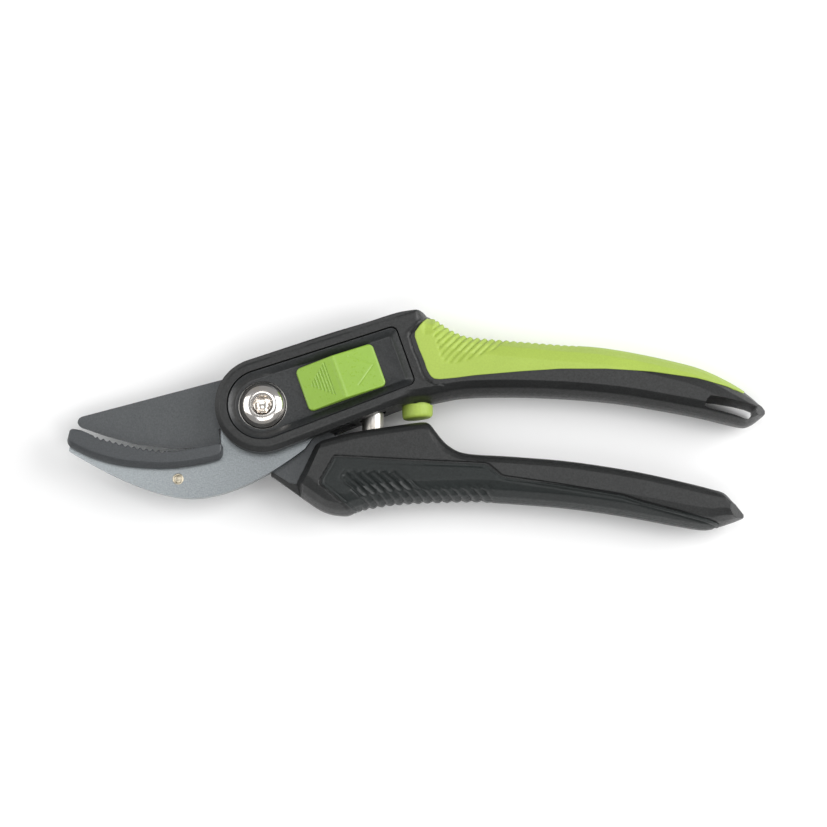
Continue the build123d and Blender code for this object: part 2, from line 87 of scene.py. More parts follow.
LOWER_TOP = [(2.2, -19.8), (3.5, -17), (6, -13.8), (10, -11.9), (15, -11.1), (17, -10.8), (20, -9.9),
             (27, -8.1), (34, -6.9), (41, -5.9), (46, -5.2), (48.6, -5.1), (50, -5.8), (51.4, -7.6),
             (53, -9.7), (55, -11.8), (58, -13.7), (61, -14.5), (65, -14.9), (71, -15.2), (77, -15.6),
             (89, -16.6), (101, -18.2), (113, -20.3), (125, -23.0), (134, -25.3), (137.4, -26.5),
             (140, -29.2), (143.5, -32.3)]
LOWER_BOTTOM = [(2.2, -20.1), (6, -22.8), (11, -26.4), (17, -30.5), (20, -31.7), (23, -32.2),
                (25.6, -32.2), (28, -31.2), (32, -30.1), (41, -28.8), (53, -28.2), (65, -28.0), (77, -28.7),
                (89, -29.7), (101, -31.2), (113, -33.2), (125, -35.5), (131, -36.4), (134, -36.2),
                (140, -34.4), (143.5, -33.0)]

# Crowns: (distance from the edge, half thickness), from the edge inwards
HEAD_CROWN = [(0, 8.1), (1.5, 9.6)]
UPPER_CROWN_LOW = [(0, 2.0), (0.35, 3.6), (1.7, 7.4), (3.7, 9.6)]
UPPER_CROWN_HIGH = [(0, 1.8), (0.4, 3.0), (1.4, 5.4), (3.4, 8.0), (6.5, 9.6)]
LOWER_CROWN_LOW = [(0, 1.8), (0.3, 3.0), (1.1, 5.2), (2.9, 8.0), (5.6, 9.6)]
LOWER_CROWN_HIGH = [(0, 6.6), (0.3, 7.6), (1.2, 8.9), (2.4, 9.6)]

# Green inlay: its left side from the bottom corner up, and its lower side from that corner to the end
INLAY_LEFT = [(51.2, 7.6), (50.0, 8.5), (49.0, 10.3), (48.1, 13.0), (46.6, 16.6), (45.3, 20.4),
              (45.4, 21.8), (46.6, 23.5), (48.8, 26.3)]
INLAY_LOWER = [(51.2, 7.6), (52.9, 7.4), (57.4, 7.8), (63.4, 8.6), (77, 9.8), (89, 10.6), (102.5, 10.6),
               (116, 9.8), (129.5, 8.0), (138.5, 5.8), (143.7, 3.9)]
INLAY_TOP = (49.2, 144.3)
INLAY_BORDER = INLAY_LEFT[::-1] + INLAY_LOWER[1:]
INLAY_AREA = INLAY_BORDER + [(144.3, 34), (48.9, 34)]
WAVE_ZONE = [(50.9, 20.1), (51.9, 17.0), (52.9, 13.8), (54.3, 12.4), (57.2, 12.0), (62, 13.3), (68, 15.6),
             (73, 18.2), (78, 18.9), (94, 17.8), (96, 22), (70, 26), (53, 31), (50.9, 24)]
WAVE_PITCH, WAVE_SLANT = 2.35, math.tan(math.radians(47))
LIP = [(48.9, 25.9), (46.6, 23.9), (44.2, 21.6), (43.9, 20.4), (45.1, 16.4), (46.7, 12.6), (47.7, 9.6),
       (48.9, 7.5), (51.0, 6.1), (54, 5.9)]

# Soft inlay of the lower handle: its left side from the top corner down, and its upper side
SOFT_LEFT = [(21.6, -15.9), (17.7, -22.6), (17.6, -23.9), (25.0, -29.9), (27.4, -31.4)]
SOFT_UPPER = [(21.6, -15.9), (22.6, -15.85), (44, -17.0), (66.0, -18.0), (67.2, -18.4), (71.0, -21.6),
              (72.4, -22.0), (89, -24.4), (107, -27.4), (113, -29.3), (136, -35.3)]
SOFT_BOTTOM = (27.6, 136.3)
SOFT_BORDER = SOFT_LEFT[::-1] + SOFT_UPPER[1:]
SOFT_AREA = SOFT_BORDER + [(136.3, -42), (27.6, -42)]
POCKET = [(24.8, -19.4), (40.9, -19.7), (48.3, -26.4), (60, -26.4), (69, -27.2), (70, -34), (29, -34),
          (29.8, -28.3), (23.4, -22.8), (23.2, -21.4)]
RIB_PITCH, RIB_SLANT = 3.0, math.tan(math.radians(41))

# Front face of the lower handle: it rises from its foot at the blade to a ridge on the face
FOOT = [(-37, 9.0), (-29.0, 12.0), (-22.6, 10.0), (-11.8, 15.2), (-4, 18.9)]
RIDGE = [(-37, 11.6), (-30.5, 14.6), (-23.4, 12.4), (-11.9, 17.6), (-4, 21.2)]


# ---- Small tools -----------------------------------------------------------------------------------
def curve(points, x):
    """Heights at x of a smooth curve through the points, flat-topped pieces joined by cubic spans."""
    px, py = np.array(points, float).T
    x = np.clip(np.asarray(x, float), px[0], px[-1])
    slope = np.empty_like(py)
    slope[1:-1] = (py[2:] - py[:-2]) / (px[2:] - px[:-2])
    slope[0] = (py[1] - py[0]) / (px[1] - px[0])
    slope[-1] = (py[-1] - py[-2]) / (px[-1] - px[-2])
    i = np.clip(np.searchsorted(px, x, side="right") - 1, 0, len(px) - 2)
    span = px[i + 1] - px[i]
    u = (x - px[i]) / span
    return (py[i] * (1 + 2 * u) * (1 - u) ** 2 + py[i + 1] * u * u * (3 - 2 * u)
            + span * u * (1 - u) * (slope[i] * (1 - u) - slope[i + 1] * u))


def rounded(points, x, radius):
    """Heights of straight pieces through the points, their corners eased over the radius."""
    px, py = np.array(points, float).T
    steps = np.linspace(-1, 1, 7)
    return sum(np.interp(x + radius * k, px, py) for k in steps) / len(steps)


def ease(x, start, end):
    """0 before start, 1 after end, smooth between."""
    u = np.clip((np.asarray(x, float) - start) / (end - start), 0, 1)
    return u * u * (3 - 2 * u)


def head_axes(x, y):
    """Places along and across the head's axis."""
    c, s = math.cos(HEAD_ANGLE), math.sin(HEAD_ANGLE)
    return x * c + y * s, y * c - x * s


def from_head(along, across):
    c, s = math.cos(HEAD_ANGLE), math.sin(HEAD_ANGLE)
    return along * c - across * s, along * s + across * c


def distance_to_line(x, y, points):
    """Shortest distance from each place to a chain of straight pieces."""
    best = np.full(np.shape(x), 1e9)
    for (x0, y0), (x1, y1) in zip(points, points[1:]):
        dx, dy = x1 - x0, y1 - y0
        u = np.clip(((x - x0) * dx + (y - y0) * dy) / (dx * dx + dy * dy), 0, 1)
        best = np.minimum(best, np.hypot(x - x0 - u * dx, y - y0 - u * dy))
    return best


def inside(x, y, points):
    """True for each place inside a closed outline."""
    result = np.zeros(np.shape(x), bool)
    for (x0, y0), (x1, y1) in zip(points, points[1:] + points[:1]):
        if y0 != y1:
            crosses = ((y0 > y) != (y1 > y)) & (x < (x1 - x0) * (y - y0) / (y1 - y0) + x0)
            result ^= crosses
    return result


# ---- Meshes ----------------------------------------------------------------------------------------
def piece(name, points, faces, material, body, replaces=(), smooth_angle=40.0):
    """A mesh object from points in mm about the pivot, riding on a body and finished."""
    obj = raw_object(name, points, faces)
    return finish_piece(obj, material, body, replaces, smooth_angle)


def tidy_mesh(mesh):
    work = bmesh.new()
    work.from_mesh(mesh)
    bmesh.ops.remove_doubles(work, verts=work.verts, dist=6e-6)
    bmesh.ops.dissolve_degenerate(work, edges=work.edges, dist=4e-6)
    drop_flaps(work)
    bmesh.ops.recalc_face_normals(work, faces=work.faces)
    work.to_mesh(mesh)
    work.free()


def drop_flaps(work, most=40):
    """Delete the flaps of a few faces that hang on an edge shared by more than two faces."""
    flaps = set()
    for edge in work.edges:
        if len(edge.link_faces) <= 2:
            continue
        for start in edge.link_faces:
            island, waiting = {start}, [start]
            while waiting and len(island) <= most:
                for side in waiting.pop().edges:
                    if len(side.link_faces) == 2:
                        fresh = [f for f in side.link_faces if f not in island]
                        island.update(fresh)
                        waiting += fresh
            if len(island) <= most:
                flaps |= island
    bmesh.ops.delete(work, geom=list(flaps), context="FACES")


def finish_piece(obj, material, body, replaces=(), smooth_angle=40.0):
    obj.data.materials.clear()
    obj.data.materials.append(material)
    shade(obj, smooth_angle)
    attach(obj, body)
    if replaces:
        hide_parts(*replaces)
    return obj


def shade(obj, angle):
    mesh = obj.data
    mesh.polygons.foreach_set("use_smooth", [True] * len(mesh.polygons))
    mesh.set_sharp_from_angle(angle=math.radians(angle))


def grid_faces(rows, cols, around=False, first=0):
    """Quads over a grid of points stored row by row; around joins the last column to the first."""
    last = cols if around else cols - 1
    faces = []
    for r in range(rows - 1):
        for c in range(last):
            d = (c + 1) % cols
            faces.append((first + r * cols + c, first + r * cols + d,
                          first + (r + 1) * cols + d, first + (r + 1) * cols + c))
    return faces


def tube(loops):
    """Points and faces of closed loops joined in a row and capped at both ends."""
    loops = np.asarray(loops, float)
    rows, cols = loops.shape[:2]
    faces = grid_faces(rows, cols, around=True)
    faces.append(tuple(range(cols)))
    faces.append(tuple(range((rows - 1) * cols, rows * cols)))
    return loops.reshape(-1, 3), faces


def lathe(profile, steps=96, at=(0.0, 0.0)):
    """Points and faces of a profile of (radius, height), from radius 0 to radius 0, turned about Z."""
    angles = np.linspace(0, 2 * math.pi, steps, endpoint=False)
    points = [(at[0], at[1], profile[0][1])]
    for r, z in profile[1:-1]:
        points += [(at[0] + r * math.cos(a), at[1] + r * math.sin(a), z) for a in angles]
    points.append((at[0], at[1], profile[-1][1]))
    rows = len(profile) - 2
    faces = grid_faces(rows, steps, around=True, first=1)
    last = 1 + (rows - 1) * steps
    for c in range(steps):
        d = (c + 1) % steps
        faces.append((0, 1 + d, 1 + c))
        faces.append((len(points) - 1, last + c, last + d))
    return np.array(points), faces


def normals(grid):
    """Outward directions at the points of a grid, from the neighbours in both directions."""
    along = np.gradient(grid, axis=0)
    across = np.gradient(grid, axis=1)
    n = np.cross(along, across)
    return n / np.maximum(np.linalg.norm(n, axis=2, keepdims=True), 1e-9)


def cutter(outline, low, high, lean=0.0):
    """A closed object to cut with, over an outline between two levels. Lean moves its low end in Y."""
    n = len(outline)
    points = [(x, y + lean, low) for x, y in outline] + [(x, y, high) for x, y in outline]
    faces = [(i, (i + 1) % n, n + (i + 1) % n, n + i) for i in range(n)]
    faces += [tuple(reversed(range(n))), tuple(range(n, 2 * n))]
    return raw_object("cutter", points, faces)


def raw_object(name, points, faces):
    mesh = bpy.data.meshes.new(name)
    places = np.asarray(points, float).reshape(-1, 3) * 0.001 + np.array(PIVOT)
    mesh.from_pydata(places.tolist(), [], faces)
    tidy_mesh(mesh)
    obj = bpy.data.objects.new(name, mesh)
    bpy.context.scene.collection.objects.link(obj)
    return obj


def cut(obj, cutters):
    """Cut shapes out of an object for good, and throw the shapes away."""
    for tool in cutters:
        change = obj.modifiers.new("cut", "BOOLEAN")
        change.operation = "DIFFERENCE"
        change.solver = "EXACT"
        change.object = tool
        bake_modifiers(obj)
        bpy.data.objects.remove(tool)
    tidy_mesh(obj.data)
    return obj


def bake_modifiers(obj):
    """Replace the object's mesh with what its modifiers make of it."""
    graph = bpy.context.evaluated_depsgraph_get()
    graph.update()
    made = bpy.data.meshes.new_from_object(obj.evaluated_get(graph))
    obj.modifiers.clear()
    old = obj.data
    obj.data = made
    bpy.data.meshes.remove(old)


def circle(radius, steps=96, at=(0.0, 0.0)):
    angles = np.linspace(0, 2 * math.pi, steps, endpoint=False)
    return [(at[0] + radius * math.cos(a), at[1] + radius * math.sin(a)) for a in angles]


# ---- Materials -------------------------------------------------------------------------------------
class Nodes:
    """A material's node tree with short calls for the few kinds of node used here."""

    def __init__(self, name):
        self.material = bpy.data.materials.new(name)
        self.material.use_nodes = True
        self.tree = self.material.node_tree
        self.shader = self.tree.nodes["Principled BSDF"]
        self.place = self.tree.nodes.new("ShaderNodeTexCoord").outputs["Object"]

    def link(self, source, target):
        self.tree.links.new(source, target)

    def noise(self, scale, detail=3.0, roughness=0.55, stretch=None):
        node = self.tree.nodes.new("ShaderNodeTexNoise")
        node.inputs["Scale"].default_value = scale
        node.inputs["Detail"].default_value = detail
        node.inputs["Roughness"].default_value = roughness
        source = self.place
        if stretch:
            mapping = self.tree.nodes.new("ShaderNodeMapping")
            mapping.inputs["Scale"].default_value = stretch[:3]
            if len(stretch) > 3:
                mapping.inputs["Rotation"].default_value = (0, 0, stretch[3])
            self.link(source, mapping.inputs["Vector"])
            source = mapping.outputs["Vector"]
        self.link(source, node.inputs["Vector"])
        return node.outputs["Fac"]

    def ramp(self, source, stops):
        """Turn a 0 to 1 value into a colour or a grey through (place, colour) stops."""
        node = self.tree.nodes.new("ShaderNodeValToRGB")
        while len(node.color_ramp.elements) < len(stops):
            node.color_ramp.elements.new(0.5)
        for element, (at, colour) in zip(node.color_ramp.elements, stops):
            element.position = at
            element.color = (*colour, 1.0) if len(colour) == 3 else colour
        self.link(source, node.inputs["Fac"])
        return node.outputs["Color"]

    def along_x(self, span, first, last):
        """A grey that goes from the first value to the last between two places along X."""
        split = self.tree.nodes.new("ShaderNodeSeparateXYZ")
        self.link(self.place, split.inputs["Vector"])
        node = self.tree.nodes.new("ShaderNodeMapRange")
        values = (*span, first, last)
        for name, value in zip(("From Min", "From Max", "To Min", "To Max"), values):
            node.inputs[name].default_value = value
        self.link(split.outputs["X"], node.inputs["Value"])
        return node.outputs["Result"]

    def mix(self, fac, a, b, mode="MIX"):
        node = self.tree.nodes.new("ShaderNodeMix")
        node.data_type = "RGBA"
        node.blend_type = mode
        for socket, value in ((node.inputs[0], fac), (node.inputs[6], a), (node.inputs[7], b)):
            if isinstance(value, bpy.types.NodeSocket):
                self.link(value, socket)
            elif isinstance(value, (int, float)):
                socket.default_value = value
            else:
                socket.default_value = (*value, 1.0)
        return node.outputs[2]

    def bump(self, height, strength, distance, before=None):
        node = self.tree.nodes.new("ShaderNodeBump")
        node.inputs["Strength"].default_value = strength
        node.inputs["Distance"].default_value = distance
        self.link(height, node.inputs["Height"])
        if before:
            self.link(before, node.inputs["Normal"])
        return node.outputs["Normal"]

    def set(self, **values):
        names = {"colour": "Base Color", "roughness": "Roughness", "metallic": "Metallic",
                 "normal": "Normal", "specular": "Specular IOR Level"}
        for key, value in values.items():
            socket = self.shader.inputs[names[key]]
            if isinstance(value, bpy.types.NodeSocket):
                self.link(value, socket)
            elif isinstance(value, (int, float)):
                socket.default_value = value
            else:
                socket.default_value = (*value, 1.0)
        return self.material


def grey(value):
    return (value, value, value)


def scaled(colour, factor):
    return tuple(c * factor for c in colour)


def moulded(name, colour, roughness, grain, depth, variation=0.16, specular=0.5, speckle=0.4):
    """Moulded plastic or rubber: fine spark-eroded grain, faint cloudiness and uneven gloss."""
    n = Nodes(name)
    fine = n.noise(grain, 2.0)
    cloud = n.noise(55.0, 4.0)
    base = n.ramp(cloud, [(0.3, scaled(colour, 1 - variation)), (0.7, scaled(colour, 1 + variation))])
    speck = n.ramp(fine, [(0.25, grey(1 - speckle)), (0.75, grey(1.0))])
    tint = n.mix(1.0, base, speck, "MULTIPLY")
    gloss = n.noise(grain * 0.6, 2.0)
    gloss = n.ramp(gloss, [(0.3, grey(roughness - 0.07)), (0.7, grey(roughness + 0.07))])
    normal = n.bump(fine, 0.55, depth)
    normal = n.bump(n.noise(420.0, 3.0), 0.25, 0.00005, normal)
    return n.set(colour=tint, roughness=gloss, normal=normal, specular=specular)


def worn_steel(name, colour, roughness, stretch, spots=0.25, metallic=1.0, scratch=0.35, span=None):
    """Steel with a blasted or ground face: fine streaks, small pits and handling scratches.

    span: places along X, in metres, between which the colour is painted from bright to dull, a painted
    reflection that stands in for light falling off across the plate."""
    n = Nodes(name)
    streak = n.noise(900.0, 5.0, 0.7, stretch)
    pits = n.noise(2300.0, 3.0)
    base = n.ramp(streak, [(0.2, scaled(colour, 1 - spots)), (0.8, scaled(colour, 1 + spots * 0.6))])
    speck = n.ramp(pits, [(0.3, grey(0.72)), (0.7, grey(1.15))])
    tint = n.mix(0.6, base, speck, "MULTIPLY")
    # painted reflection: the tint is multiplied from 1.22 at the span's start down to 0.72 at its end, for
    # light falling off along X
    if span:
        tint = n.mix(1.0, tint, n.along_x(span, 1.22, 0.72), "MULTIPLY")
    gloss = n.ramp(streak, [(0.2, grey(roughness - 0.06)), (0.8, grey(roughness + 0.10))])
    normal = n.bump(streak, scratch, 0.00002)
    normal = n.bump(pits, 0.30, 0.00002, normal)
    return n.set(colour=tint, roughness=gloss, normal=normal, metallic=metallic)


def plated(name, colour, roughness):
    """Bright plating: nearly a mirror, with faint waves and a trace of warm tarnish."""
    n = Nodes(name)
    cloud = n.noise(160.0, 4.0)
    base = n.ramp(cloud, [(0.35, colour), (0.75, (colour[0], colour[1] * 0.93, colour[2] * 0.84))])
    gloss = n.ramp(n.noise(700.0, 3.0), [(0.3, grey(roughness)), (0.8, grey(roughness + 0.08))])
    normal = n.bump(n.noise(260.0, 2.0), 0.12, 0.00004)
    return n.set(colour=base, roughness=gloss, normal=normal, metallic=1.0)


black_nylon = moulded("black_nylon", (0.0215, 0.0226, 0.0226), 0.44, 1900.0, 0.00010, speckle=0.7)
cover_nylon = moulded("cover_nylon", (0.0225, 0.0250, 0.0265), 0.36, 1900.0, 0.00010, speckle=0.7)
green_soft = moulded("green_soft", (0.37, 0.50, 0.078), 0.55, 2000.0, 0.00004, 0.04, speckle=0.12)
green_button = moulded("green_button", (0.265, 0.44, 0.054), 0.32, 1500.0, 0.00002, 0.04, speckle=0.08)
black_soft = moulded("black_soft", (0.0092, 0.0138, 0.0134), 0.46, 1900.0, 0.00010,
                     specular=0.42, speckle=0.6)
# satin_steel carries a painted reflection: its colour is brighter towards the left end along X
satin_steel = worn_steel("satin_steel", (0.37, 0.40, 0.415), 0.38, (1.0, 6.0, 1.0, 0.2),
                         span=(-0.105, -0.045))
coated_steel = worn_steel("coated_steel", (0.100, 0.106, 0.110), 0.42, (6.0, 1.0, 1.0, 0.3),
                          0.2, 0.55, 0.3)
black_strip = worn_steel("black_strip", (0.075, 0.08, 0.085), 0.42, (1.0, 5.0, 1.0), 0.25, 0.4, 0.4)
pin_steel = worn_steel("pin_steel", (0.55, 0.54, 0.52), 0.30, (4.0, 1.0, 1.0))
rivet_brass = worn_steel("rivet_brass", (0.62, 0.56, 0.44), 0.32, (3.0, 1.0, 1.0), 0.3)
chrome_bolt = plated("chrome_bolt", (0.86, 0.84, 0.82), 0.13)
spring_steel = plated("spring_steel", (0.62, 0.61, 0.59), 0.34)


# ---- Surfaces of the handles -----------------------------------------------------------------------
def slope_of(points, x):
    return (curve(points, np.asarray(x) + 0.2) - curve(points, np.asarray(x) - 0.2)) / 0.4


def edge_distances(x, y, top, bottom):
    """Distances in from the lower and the upper edge, stretched where the handle is narrow."""
    low, high = curve(bottom, x), curve(top, x)
    scale = np.clip((high - low) / 12, 0.05, 1)
    from_low = (y - low) / np.hypot(1, slope_of(bottom, x)) / scale
    from_high = (high - y) / np.hypot(1, slope_of(top, x)) / scale
    return from_low, from_high


def crown(points, distance):
    return rounded(points, distance, 0.14)


def upper_height(x, y):
    """Half thickness of the upper handle at a place seen from the front."""
    along, across = head_axes(x, y)
    head = np.where(along < 0, HEAD_R - np.hypot(along, across),
                    HEAD_R - HEAD_TAPER * along - np.abs(across))
    from_low, from_high = edge_distances(x, y, UPPER_TOP, UPPER_BOTTOM)
    grip = np.minimum(crown(UPPER_CROWN_LOW, from_low), crown(UPPER_CROWN_HIGH, from_high))
    part = ease(x, 37 + 8.5 * ease(y, 8, 18), 50)
    tip = 2.0 + (150.3 - x) * 2.1
    return np.minimum(crown(HEAD_CROWN, head) * (1 - part) + grip * part, tip)


def lower_height(x, y):
    """Half thickness of the lower handle, before its front face is taken off."""
    from_low, from_high = edge_distances(x, y, LOWER_TOP, LOWER_BOTTOM)
    body = np.minimum(crown(LOWER_CROWN_LOW, from_low), crown(LOWER_CROWN_HIGH, from_high))
    tip = 1.6 + (143.6 - x) * 1.7
    nose = 4.0 + (x - 1.5) * 0.9
    return np.minimum(body, np.minimum(tip, nose))


def lower_front(x, y):
    """Height of the lower handle's front above the middle, with its sloping front face."""
    (foot_y, foot_x), (ridge_y, ridge_x) = np.array(FOOT).T, np.array(RIDGE).T
    foot, ridge = np.interp(y, foot_y, foot_x), np.interp(y, ridge_y, ridge_x)
    rise = 9.6 * (x - foot) / (ridge - foot)
    return np.minimum(lower_height(x, y), np.maximum(rise, 0.0))


def across_steps(width, count):
    """Places from 0 to 1 across a row: evenly spaced, with close ones at both edges."""
    close = np.array([0, 0.15, 0.35]) * min(1.0, width / 4) / width
    return np.concatenate([close[:2], np.linspace(close[2], 1 - close[2], count), 1 - close[:2][::-1]])


def handle_loops(starts, ends, front, back, count, bend=None):
    """Closed loops round a handle: over the front from each row's lower end, and back underneath."""
    loops = []
    for (x0, y0), (x1, y1) in zip(starts, ends):
        t = across_steps(math.hypot(x1 - x0, y1 - y0), count)
        x, y = x0 + (x1 - x0) * t, y0 + (y1 - y0) * t
        if bend:
            x = bend(x0, y0, y)
        over = np.stack([x, y, MIDDLE + front(x, y)], axis=1)
        under = np.stack([x, y, MIDDLE - back(x, y)], axis=1)
        loops.append(np.concatenate([over, under[::-1]]))
    return np.array(loops)


def spaced(*spans):
    """Rising places made of spans of (start, end, step)."""
    parts = [np.arange(a, b - step * 0.5, step) for a, b, step in spans]
    return np.concatenate(parts + [[spans[-1][1]]])


def sunk(x, y, area, border, depth=1.3, start=0.45):
    """Depth taken off under an inlay: nothing at its border, the full depth a little inside."""
    return depth * inside(x, y, area) * ease(distance_to_line(x, y, border), start, start + 0.4)


def groove(x, y, line, depth, width):
    return depth * np.exp(-(distance_to_line(x, y, line) / width) ** 2)


# ---- Upper handle ----------------------------------------------------------------------------------
def upper_front(x, y):
    lip = groove(x, y, LIP, 0.42, 0.28) - groove(x, y, [(a - 0.9, b) for a, b in LIP], 0.22, 0.4)
    return upper_height(x, y) - sunk(x, y, INLAY_AREA, INLAY_BORDER) - lip * (x > 41)


def upper_rows():
    """Ends of the rows across the upper handle: square to the head, then square to X."""
    starts, ends = [], []
    for a in np.linspace(0.06, math.pi / 2, 40)[:-1]:
        along, across = -HEAD_R * math.cos(a), HEAD_R * math.sin(a)
        starts.append(from_head(along, -across))
        ends.append(from_head(along, across))
    for x in spaced((0, 38, 0.8), (38, 56, 0.28), (56, 140, 0.6), (140, 150.25, 0.35)):
        lean = 4.74 * (1 - ease(x, 30, 48))
        x0, x1 = x + lean, x - lean
        under_inlay = UNDER_INLAY * (ease(x1, 49.6, 51.4) - ease(x1, 140.5, 143.6))
        starts.append((x0, float(curve(UPPER_BOTTOM, x0))))
        ends.append((x1, float(curve(UPPER_TOP, x1)) - float(under_inlay)))
    return starts, ends


def blade_space():
    """Outline of the room between the cheeks where the blades lie and swing."""
    wedge = [(15 * math.cos(math.radians(a)), 15 * math.sin(math.radians(a))) for a in range(-9, 41, 3)]
    return wedge + [(27.6, 23.2), (10, 40), (-40, 40), (-40, -40), (20, -40), (43.0, -6.8)]


def hexagon(across_flats):
    return circle(across_flats / math.sqrt(3), 6)


HANG_SLOT = [(131.8, -0.3), (132.3, 1.6), (133.4, 2.6), (136.5, 2.2), (141.0, 1.3), (144.8, 0.3),
             (146.9, -0.6), (147.0, -1.6), (144.8, -4.2), (143.6, -4.1), (140.7, -3.0),
             (136.8, -1.9), (132.6, -0.9)]

# Room for the lock's pin and slider to travel along the head
LOCK_SLOT = [from_head(a, b) for a, b in ((11.6, -5.2), (35.8, -5.2), (35.8, 5.2), (11.6, 5.2))]


def upright_cutter(x, radius, low, high):
    """A round cutter standing along Y at the middle of the thickness."""
    points, faces = lathe([(0, low), (radius, low), (radius, high), (0, high)], 64)
    turned = np.stack([points[:, 0] + x, points[:, 2], MIDDLE + points[:, 1]], axis=1)
    return raw_object("cutter", turned, faces)


def make_upper_handle():
    starts, ends = upper_rows()
    points, faces = tube(handle_loops(starts, ends, upper_front, upper_front, HANDLE_COLUMNS))
    obj = raw_object("upper_handle_shell", points, faces)
    recess = stadium(RECESS_R, RECESS_LENGTH, RECESS_END, 2.0)
    cut(obj, [cutter(recess, RECESS_FLOOR, 25), cutter(blade_space(), 6.4, JAW_HIGH),
              cutter(HANG_SLOT, -1, 20.2, 0.6), cutter(circle(4.05), 1, 17),
              cutter(circle(7.9), 14.3, 17), cutter(hexagon(NUT_SEAT_FLATS), -1, 4.5),
              upright_cutter(SPRING_X, SPRING_CUP_R, -20, SPRING_HIGH),
              cutter(LOCK_SLOT, JAW_LOW, 17)])
    return finish_piece(obj, black_nylon, UPPER, ["upper_handle"], 32)


# ---- Inlays ----------------------------------------------------------------------------------------
def along_chain(points, count):
    """Evenly spaced places along a chain, from 0 to 1 of its length."""
    chain = np.array(points, float)
    length = np.concatenate([[0], np.cumsum(np.hypot(*np.diff(chain, axis=0).T))])
    at = np.asarray(count) * length[-1] if np.ndim(count) else np.linspace(0, length[-1], count)
    return np.stack([np.interp(at, length, chain[:, 0]), np.interp(at, length, chain[:, 1])], axis=1)


def eased_chain(points, fractions, radius=0.004):
    """The chain with its corners slightly rounded."""
    shifts = radius * np.linspace(-1, 1, 5)
    return sum(along_chain(points, np.clip(fractions + shift, 0, 1)) for shift in shifts) / 5


def patch(side, free, rail, span, u, v):
    """Plan places over a four-sided area, in rows of u and columns of v.

    side and free start at the same corner: side leads to the handle's edge, free to the far end. The
    rail is the handle's edge over the span of X."""
    across = eased_chain(side, v, 0.01)
    inner = eased_chain(free, u, 0.003)
    x = span[0] + (span[1] - span[0]) * u
    outer = np.stack([x, curve(rail, x)], axis=1)
    end = inner[-1] + (outer[-1] - inner[-1]) * v[:, None]
    un, vn = u[:, None, None], v[None, :, None]
    blend = ((1 - vn) * inner[:, None] + vn * outer[:, None]
             + (1 - un) * across[None] + un * end[None])
    corner = ((1 - un) * (1 - vn) * inner[0] + (1 - un) * vn * outer[0]
              + un * (1 - vn) * inner[-1] + un * vn * outer[-1])
    return blend - corner


def inlay(plan, height, relief, proud, depth, upward):
    """Points and faces of an inlay that lies on a handle's front, edge and back."""
    x, y = plan[..., 0], plan[..., 1]
    h = height(x, y)
    front = np.stack([x, y, MIDDLE + h], axis=2)
    back = np.stack([x, y, MIDDLE - h], axis=2)[:, ::-1]
    sheet = np.concatenate([front, back], axis=1)
    away = normals(sheet) * (1 if upward else -1)
    lift = relief(x, y)
    rows, cols = lift.shape
    rim = np.minimum.outer(np.minimum(np.arange(rows), np.arange(rows)[::-1]), np.arange(cols))
    lift = lift + np.choose(np.clip(rim, 0, 2), [-proud, proud * 0.6, proud])
    lift = np.concatenate([lift, lift[:, ::-1]], axis=1)
    outer = sheet + away * lift[..., None]
    outer[..., 2] = np.maximum(outer[..., 2], -0.06)
    inner = sheet - away * depth
    n = outer.shape[0] * outer.shape[1]
    points = np.concatenate([outer.reshape(-1, 3), inner.reshape(-1, 3)])
    return points, sheet_faces(outer.shape[0], outer.shape[1], n)


def sheet_faces(rows, cols, n):
    """Faces of two equal grids, one behind the other, joined all round."""
    faces = grid_faces(rows, cols)
    faces += [tuple(n + i for i in reversed(f)) for f in grid_faces(rows, cols)]
    border = list(range(cols)) + [r * cols + cols - 1 for r in range(1, rows)]
    border += [(rows - 1) * cols + c for c in range(cols - 2, -1, -1)]
    border += [r * cols for r in range(rows - 2, 0, -1)]
    for a, b in zip(border, border[1:] + border[:1]):
        faces.append((b, a, n + a, n + b))
    return faces


def edge_first(count, length):
    """Places from 0 to 1 with three close ones at both ends, for a rounded border."""
    close = np.array([0, 0.12, 0.32]) / length
    return np.concatenate([close, np.linspace(close[-1], 1 - close[-1], count)[1:-1], 1 - close[::-1]])


def towards_rail(count, length):
    """Places from 0 to 1: three close ones at the free border, and closer and closer at the rail."""
    close = np.array([0, 0.12, 0.32]) / length
    rest = 1 - (1 - np.linspace(close[-1], 1, count)) ** 1.7
    return np.concatenate([close, rest[rest > close[-1] + 0.3 / length]])


def green_relief(x, y):
    """Sunken patch with slanting waves that run out over the top edge as scallops."""
    depth_in = inside(x, y, WAVE_ZONE) * ease(distance_to_line(x, y, WAVE_ZONE[:10]), 0, 0.7)
    wave = np.abs(np.sin(math.pi * (x - (y - 21) / WAVE_SLANT) / WAVE_PITCH))
    fade = 1 - 0.75 * ease(x, 62, 78)
    from_low, from_high = edge_distances(x, y, UPPER_TOP, UPPER_BOTTOM)
    rim = (1 - ease(from_high, 0.6, 3.0)) * ease(x, 60, 64) * (1 - ease(x, 86, 98))
    return depth_in * fade * (0.62 * wave - 0.62) + rim * 0.34 * (wave - 1)


def make_green_inlay():
    plan = patch(INLAY_LEFT, INLAY_LOWER, UPPER_TOP, INLAY_TOP,
                 edge_first(330, 95), towards_rail(60, 20))
    points, faces = inlay(plan, upper_height, green_relief, 0.22, INLAY_DEPTH, True)
    return piece("green_inlay", points, faces, green_soft, UPPER, ["upper_grip"], 45)


